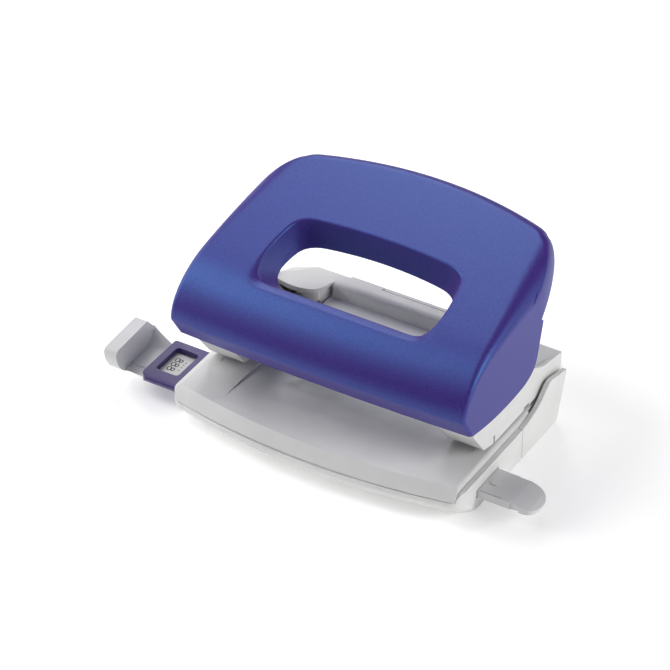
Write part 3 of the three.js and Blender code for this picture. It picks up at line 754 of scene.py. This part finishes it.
# Everything above a plane that falls away behind the slanted rear corner of the left cover.
# The cover is built on the right and mirrored, so its corner is drawn on the right too.
def corner_wedge(below):
    start, end = Vector((36.2, 33.9)), Vector((44.8, 25.9))
    along = (end - start).normalized()
    outward = Vector((-along.y, along.x))
    rings = []
    for depth in (0, 12):
        a, b = start - along * 6 + outward * depth, end + along * 8 + outward * depth
        low = WEDGE_TOP - below - WEDGE_SLOPE * depth
        rings.append([(*a, low), (*b, low), (*b, 40), (*a, 40)])
    return loft(rings)


# A hollow head over the punch, with a lobe behind it that meets the bridge over the axle.
def build_cover(side):
    roof_plan = lobe_front + [(28.15, 30.7), (25.35, 34.4), (25.35, 36), (45.9, 36), (45.9, 22.8)]
    wall_plan = [(x + 0.5, y + LOBE_EDGE) for x, y in lobe_front]
    wall_plan += [(25.35, 34.3), (25.35, 36), (45.9, 36), (45.9, 24.3)]
    low, high = COVER_IN + COVER_WALL, COVER_OUT - COVER_WALL
    lobe = join(raise_up(roof_plan, LOBE_LOW, 30), raise_up(wall_plan, 10, LOBE_LOW + 0.1))
    plan = join(
        block(COVER_IN, COVER_OUT, -20, 12, 10, 30), block(high, COVER_OUT, 11, 36, 10, 30), lobe)
    solid = common(run_along_x(cover_profile, 25, COVER_OUT), plan)
    head_hollow = [(-9.8, 12), (-9.8, 15.6), (-15.9, 23.8), (-15.9, 30), (12.5, 30), (12.5, 12)]
    lobe_hollow = [(12, 12), (12, LOBE_LOW), (27.4, 19.8), (34.3, 18.4), (34.3, 12)]
    above_lobe = [(12.6, 22.5), (34.3, 20.7), (34.3, 30), (12.6, 30)]
    rounding = arc(COVER_OUT - 1, COVER_REAR - 1, 1, 0, 90, 8)
    rounding += [(COVER_OUT - 1, 37), (48, 37), (48, COVER_REAR - 1)]
    under_lobe = run_along_x(lobe_hollow, BRIDGE_HALF + 1.5, high)
    if side < 0:
        under_lobe = cut(under_lobe, corner_wedge(WEDGE_SKIN))
    beside_bridge = block(20, BRIDGE_HALF + 0.3, 10, 34.3, 10, 19.9)
    slit = block(COVER_OUT - 1, COVER_OUT + 1, -5.95, -5.05, 12, 16.6)
    notch = block(COVER_OUT - 2, COVER_OUT + 1, 12.2, 15.1, 12, 14.9)
    solid = cut(
        solid, run_along_x(head_hollow, low, high), under_lobe, run_along_x(above_lobe, 20, high),
        beside_bridge, raise_up(rounding, 10, 30), slit, notch)
    front = [(x, y + LOBE_EDGE) for x, y in lobe_front if 30.4 < x < LEVER_SIDE]
    shield = front + [(x, y + COVER_WALL) for x, y in front[::-1]]
    solid = join(solid, raise_up(shield, 16.3, 21))
    if side > 0:
        return solid
    solid = cut(solid, corner_wedge(0))
    twin = mirrored(solid)
    bpy.data.objects.remove(solid)
    return twin


for side, sign in SIDES.items():
    dress(build_cover(sign), f"side_cover_shell_{side}", "light_grey_plastic", "base",
          [f"side_cover_{side}"], edge=0.45, segments=4)

strip_side = [(12, 11.7), (12, 16), (30.4, 16), (30.4, 14.8), (13.3, 14.8), (13.3, 11.7)]
ridge_side = (
    [(29, 15.5), (29, 19.6)] + quadratic((29, 19.6), (29.1, 21.4), (31, 21.5), 10)[1:] + [(34.4, 21.4)]
    + quadratic((34.4, 21.3), (COVER_REAR, 21.2), (COVER_REAR, 20.3), 6)[1:]
    + [(COVER_REAR, 13.6), (34.3, 13.6), (34.3, 20), (30.2, 20.2), (30.2, 15.5)]
)
ridge_end = (
    [(28.2, 29)] + quadratic((28.2, 29), (28.5, 29), (28.4, 29.4), 4)[1:]
    + [(27.6, 30.6), (24.8, 34.3), (24.8, 36)]
)
ridge_plan = ridge_end + [(-x, y) for x, y in ridge_end[::-1]]
ridge = common(run_along_x(ridge_side, -BRIDGE_HALF, BRIDGE_HALF), raise_up(ridge_plan, 10, 30))
rule_groove = block(-13.2, 27.5, 33.3, 33.6, 20.9, 25)
rule_notch = block(-13.9, -13.2, 33.1, 36, 20.8, 25)
bridge = join(run_along_x(strip_side, -BRIDGE_HALF, BRIDGE_HALF), ridge)
bridge = cut(bridge, rule_groove, rule_notch)
dress(bridge, "axle_cover_shell", "light_grey_plastic", "base", ["axle_cover"], edge=0.2)


# ------------------------------------------------------------------ paper guide, strip and window sleeve

GUIDE = (4.6, 7.0)
tab = (
    [(35, -19.3), (63.2, -19.3)]
    + bezier((63.2, -19.3), (65.6, -19.2), (66.6, -17), (66.7, -14.2), 14)[1:]
    + bezier((66.7, -14.2), (66.8, -11.2), (65.6, -8.9), (61.6, -7.8), 14)[1:]
    + [(59.2, -7.4), (35, -7.1)]
)
paddle = (
    [(-19.5, GUIDE[0])] + bezier((-19.5, GUIDE[0]), (-23.6, 5.6), (-26.4, 9), (-27.2, 13.4), 14)[1:]
    + quadratic((-27.2, 13.4), (-27.5, 15.6), (-25.4, 15.8), 8)[1:] + [(-11.4, 16.6)]
    + quadratic((-11.4, 16.6), (-10.2, 16.7), (-9.6, 15.6), 6)[1:] + [(-6.4, 12), (-6.4, GUIDE[0])]
)
CREASE_X = 59.4
TAB_END = 65.0


# The inner face of the stop runs out over the bar in a hollow curve along its rear edge.
def stop_gusset():
    rings = []
    for x, rise in quadratic((-69, 5.6), (-66, 2.9), (-62.6, 0.9), 10):
        rings.append([
            (x, -11, 6.4), (x, -11, 7), (x, -9.4, 7 + 0.2 * rise), (x, -8, 7 + 0.66 * rise),
            (x, -7, 7 + 0.93 * rise), (x, -6.4, 7 + rise), (x, -6.4, 6.4)])
    return loft(rings)


bar_side = [(-23.2, GUIDE[1]), (-23.2, 6.8), (-20.7, GUIDE[0]), (-6.4, GUIDE[0]), (-6.4, GUIDE[1])]
above_tab = [(CREASE_X, 7), (TAB_END, 6.35), (67.3, 5.2), (70, 5.2), (70, 9), (CREASE_X, 9)]
raised_pad = block(-67.8, -62.9, -19.6, -8.6, 6.5, 7.25)
round_knob = disc(51.4, -13.5, 1.35, 6.5, 7.35, 40)
guide = join(
    run_along_x(bar_side, -69.5, 36), stop_gusset(), raise_up(tab, *GUIDE),
    run_along_x(paddle, -72.8, -68.5), raised_pad, round_knob)
strip_well = block(-61.8, 34.6, -20.3, -8.1, 6.3, 10)
groove_below = block(CREASE_X + 0.6, CREASE_X + 2.4, -25, -2, 4, 5.1)
tab_groove = block(48.8, 56, -18.9, -18.6, 6.7, 10)
front_nick = block(CREASE_X - 0.4, CREASE_X + 0.6, -20, -18.9, 4, 10)
rear_nick = block(CREASE_X - 3.4, CREASE_X, -7.55, -6, 4, 10)
guide = cut(
    guide, strip_well, run_along_y(above_tab, -25, -2), groove_below, tab_groove,
    front_nick, rear_nick)
# The tab's creases stay sharp.
for edge in guide.data.edges:
    ends = [guide.data.vertices[v].co for v in edge.vertices]
    if any(all(abs(end.x - line) < 0.05 for end in ends) for line in (CREASE_X, TAB_END)):
        edge.use_edge_sharp = True
dress(guide, "paper_guide_shell", "guide_grey_plastic", "guide", ["paper_guide"], edge=0.3)

scale_lines = [block(x, x + 0.15, -21, -7, 6.95, 8) for x in (-49, -30, 8)]
strip = cut(block(-61.7, 34.3, -20, -8.4, 6.6, 7.0), *scale_lines)
dress(strip, "format_strip_print", "format_print", "guide", ["format_strip"], edge=0.08)


PRINT_Z = 7.02
STROKE = 0.34
DIGIT_STEPS = 28


# A figure eight lying on the strip, read from the right-hand side: two flat rings.
def digit_eight(x, y):
    vertices, faces = [], []
    for centre, wide, tall in ((-0.58, 1.02, 0.8), (0.62, 0.86, 0.66)):
        base = len(vertices)
        for i in range(DIGIT_STEPS):
            a = 2 * math.pi * i / DIGIT_STEPS
            for inner in (0.0, STROKE):
                along, side = (tall - inner) * math.sin(a), (wide - inner) * math.cos(a)
                vertices.append((x + centre + along, y + side, PRINT_Z))
        for i in range(DIGIT_STEPS):
            j = (i + 1) % DIGIT_STEPS
            faces.append((base + 2 * i, base + 2 * j, base + 2 * j + 1, base + 2 * i + 1))
    return vertices, faces


vertices, faces = [], []
for y in (-15.9, -13.6, -11.3):
    more, rims = digit_eight(-56.95, y)
    faces += [tuple(len(vertices) + k for k in rim) for rim in rims]
    vertices += more
for y in (-15.6, -14.1, -12.8, -11.6):
    base = len(vertices)
    vertices += [(-54.8 + dx, y + dy, PRINT_Z) for dx, dy in ((0, 0), (0.4, 0), (0.4, 0.4), (0, 0.4))]
    faces.append(tuple(range(base, base + 4)))
figures = temporary(vertices, faces)
figures.name = "format_figures"
figures.data.transform(TO_FRAME)
figures.data.materials.append(INK)
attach(figures, "guide")

sleeve_side = (
    [(-25, 8)] + quadratic((-25, 8), (-25, 9), (-23.8, 9), 8)[1:]
    + [(-5.4, 9), (-5.4, 3.6), (-19.6, 3.6)]
    + bezier((-19.6, 3.6), (-21.4, 3.8), (-24.8, 6.4), (-25, 8), 14)[1:-1]
)
sleeve_slot = [(-23.5, 7.3), (-23.5, 6.8), (-20.6, 4.3), (-6.1, 4.3), (-6.1, 7.3)]
sleeve_plan = (
    arc(-59.4, -22.4, 2.6, 180, 270, 10) + [(-48.8, -25), (-48.8, -5.4)]
    + arc(-61.2, -6.2, 0.8, 90, 180, 6)
)


def rounded_plan(x0, x1, y0, y1, radius):
    left, right, front, rear = x0 + radius, x1 - radius, y0 + radius, y1 - radius
    corners = ((left, front, 180), (right, front, 270), (right, rear, 0), (left, rear, 90))
    return [point for x, y, start in corners for point in arc(x, y, radius, start, start + 90, 6)]


sleeve = cut(
    common(run_along_x(sleeve_side, -62, -48.8), raise_up(sleeve_plan, 0, 12)),
    run_along_x(sleeve_slot, -70, -40),
    raise_up(rounded_plan(-59.6, -51.8, -20.2, -8.2, 1.1), 5, 12),
)
dress(sleeve, "window_sleeve_shell", "indigo_plastic", "tray", ["window_sleeve"], edge=0.35)


# ------------------------------------------------------------------ return springs

SPRING_LOW, SPRING_HIGH = 17.5, 27.5
SPRING_RADIUS, SPRING_WIRE = 3.6, 0.4
SPRING_TURNS = 5
WIRE_SIDES = 10


def coil(x):
    wire = []
    for k in range(WIRE_SIDES):
        a = 2 * math.pi * k / WIRE_SIDES
        wire.append((SPRING_WIRE * math.cos(a), SPRING_WIRE * math.sin(a)))
    rings = []
    steps = 24 * SPRING_TURNS
    for i in range(steps + 1):
        turn = 2 * math.pi * SPRING_TURNS * i / steps
        outward = Vector((math.cos(turn), math.sin(turn), 0))
        height = SPRING_LOW + (SPRING_HIGH - SPRING_LOW) * i / steps
        centre = Vector((x, 0, height)) + outward * SPRING_RADIUS
        rings.append([tuple(centre + outward * u + Vector((0, 0, v))) for u, v in wire])
    return loft(rings)


# A coil of wire round each pin, which replaces the return spring and gets its own copy of the mesh.
for side, sign in SIDES.items():
    node = f"return_spring_{side}"
    spring = dress(
        coil(sign * HOLE_X), f"return_spring_coil_{side}", SLOT_OF[node], "base", [node], edge=0)
    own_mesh(spring)


# ------------------------------------------------------------------ camera, light and floor

# The direction from the object, azimuth in degrees from the front towards the right.
def towards(azimuth, elevation):
    a, e = math.radians(azimuth), math.radians(elevation)
    return Vector((math.sin(a) * math.cos(e), -math.cos(a) * math.cos(e), math.sin(e)))


AZIMUTH, ELEVATION = 31.133, 36.273
BACK = towards(AZIMUTH, ELEVATION)
RIGHT = Vector((math.cos(math.radians(AZIMUTH)), math.sin(math.radians(AZIMUTH)), 0))
UP = BACK.cross(RIGHT)
TARGET = TO_FRAME @ Vector((-10.602, 1.051, 26.3))
DISTANCE = 1.01449

camera_data = bpy.data.cameras.new("camera")
camera_data.sensor_width = 36
camera_data.lens = 188.06
camera_data.clip_end = 50
camera = bpy.data.objects.new("camera", camera_data)
facing = Matrix((RIGHT, UP, BACK)).transposed().to_4x4()
camera.matrix_world = Matrix.Translation(TARGET + BACK * DISTANCE) @ facing
bpy.context.scene.collection.objects.link(camera)
bpy.context.scene.camera = camera


def softbox(name, azimuth, elevation, distance, size, watts):
    data = bpy.data.lights.new(name, "AREA")
    data.shape = "DISK"
    data.size = size
    data.energy = watts
    lamp = bpy.data.objects.new(name, data)
    back = towards(azimuth, elevation)
    lamp.location = back * distance
    lamp.rotation_mode = "QUATERNION"
    lamp.rotation_quaternion = (-back).to_track_quat("-Z", "Y")
    bpy.context.scene.collection.objects.link(lamp)


softbox("right", 100, 25, 1.0, 0.5, 5.0)
softbox("left_low", -70, 25, 1.0, 0.5, 3.5)
softbox("left_high", -70, 55, 1.0, 0.5, 3.2)
softbox("rear_low", -105, 25, 1.0, 0.5, 1.4)
softbox("rear_high", -145, 55, 1.0, 0.5, 1.9)
softbox("band", -150, 33, 1.0, 0.22, 1.1)
softbox("front", 10, 68, 1.2, 0.8, 1.1)

world = bpy.data.worlds.new("studio")
world.use_nodes = True
sky = world.node_tree
direction = sky.nodes.new("ShaderNodeTexCoord")
parts = sky.nodes.new("ShaderNodeSeparateXYZ")
sky.links.new(direction.outputs["Generated"], parts.inputs["Vector"])
HEIGHTS = ((0.05, 0.5), (0.3, 0.36), (0.6, 0.5), (0.9, 0.72))
sky.links.new(
    ramp(sky, parts.outputs["Z"], [(height, grey(value)) for height, value in HEIGHTS]),
    sky.nodes["Background"].inputs["Color"])
sky.nodes["Background"].inputs["Strength"].default_value = 0.12
bpy.context.scene.world = world
bpy.context.scene.view_settings.view_transform = "Standard"

floor = temporary([(x, y, 0) for x, y in ((-4, -4), (4, -4), (4, 4), (-4, 4))], [(0, 1, 2, 3)])
floor.name = "floor"
floor_material, _, floor_shader = nodes_of("floor")
floor_shader.inputs["Base Color"].default_value = (0.93, 0.93, 0.93, 1)
floor_shader.inputs["Emission Color"].default_value = (1, 1, 1, 1)
floor_shader.inputs["Emission Strength"].default_value = 0.28
floor_shader.inputs["Roughness"].default_value = 0.9
floor.data.materials.append(floor_material)
